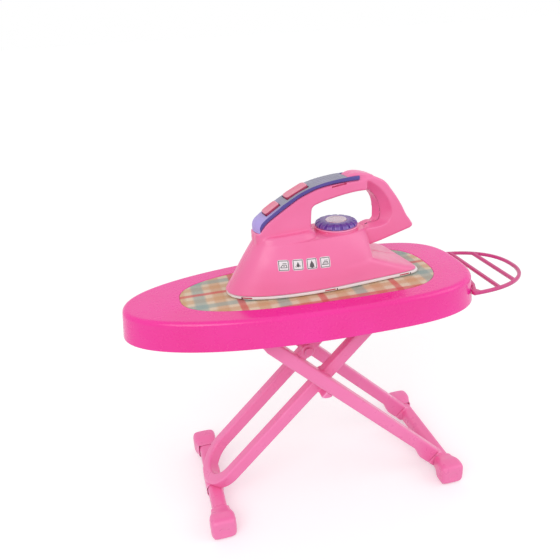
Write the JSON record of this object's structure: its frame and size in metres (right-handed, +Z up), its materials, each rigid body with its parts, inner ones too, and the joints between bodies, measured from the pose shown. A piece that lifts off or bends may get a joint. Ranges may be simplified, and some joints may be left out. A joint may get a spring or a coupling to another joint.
{
  "type": "toy ironing board with toy iron",
  "caption": "Child's ironing board with a checked panel, an iron rest and folding crossed legs, and a toy iron with push buttons and a turning dial on it.",
  "frame": {"origin": "middle of the whole model's footprint, on the floor", "axes": "+X along the board, from its rounded nose towards the iron rest; +Z up; the buyer who stands at the board's side in the picture is at -Y"},
  "size_m": [0.4214, 0.152, 0.3441],
  "materials": {
    "tray": "hot pink moulded plastic",
    "cover": "printed check, cream, orange, red and grey-blue",
    "rest": "raspberry moulded plastic",
    "legs": "light pink moulded plastic",
    "iron": "salmon pink moulded plastic",
    "sole": "white moulded plastic",
    "grip": "lilac and violet plastic",
    "buttons": "salmon pink plastic",
    "cap": "silver coloured plastic",
    "screws": "zinc plated"
  },
  "bodies": {
    "board": {"board_shell": "tray", "cover_panel": "cover", "iron_rest": "rest", "hinge_rod": "legs"},
    "outer_frame": {"outer_leg_near": "legs", "outer_leg_far": "legs", "outer_foot_bar": "legs", "outer_foot_cap_near": "legs", "outer_foot_cap_far": "legs", "pivot_pin_near": "legs", "pivot_pin_far": "legs"},
    "inner_frame": {"inner_leg_frame": "legs", "inner_foot_bar": "legs", "inner_foot_cap_near": "legs", "inner_foot_cap_far": "legs", "inner_top_rod": "legs"},
    "iron": {"iron_shell_near": "iron", "iron_shell_far": "iron", "iron_soleplate": "sole", "iron_grip_trim": "grip", "iron_screw_front": "screws", "iron_screw_top": "screws", "iron_screw_rear": "screws"},
    "dial": {"iron_dial": "grip", "iron_dial_cap": "cap"},
    "button_front": {"iron_button_front": "buttons"},
    "button_rear": {"iron_button_rear": "buttons"}
  },
  "joints": [
    {"name": "outer_leg_fold", "type": "hinge", "parent": "board", "child": "outer_frame", "pos_m": [-0.09755, 0, 0.2184], "axis": [0, -1, 0], "range_deg": [0, 38]},
    {"name": "inner_leg_fold", "type": "hinge", "parent": "outer_frame", "child": "inner_frame", "pos_m": [-0.0203, 0, 0.14284], "axis": [0, -1, 0], "range_deg": [-76, 0]},
    {"name": "iron_lift", "type": "slide", "parent": "board", "child": "iron", "axis": [0, 0, 1], "range_m": [0, 0.15]},
    {"name": "dial_turn", "type": "hinge", "parent": "iron", "child": "dial", "pos_m": [0.00903, 0.00824, 0.2924], "axis": [0, 0, 1], "continuous": true},
    {"name": "front_button_press", "type": "slide", "parent": "iron", "child": "button_front", "axis": [0.466, 0.0572, -0.8829], "range_m": [0, 0.0016], "stiffness_N_per_m": 300, "springref_m": -0.001},
    {"name": "rear_button_press", "type": "slide", "parent": "iron", "child": "button_rear", "axis": [0.3718, 0.0457, -0.9272], "range_m": [0, 0.0016], "stiffness_N_per_m": 300, "springref_m": -0.001}
  ],
  "couplings": [
    {"joint": "inner_leg_fold", "follows": "outer_leg_fold", "ratio": -2}
  ]
}
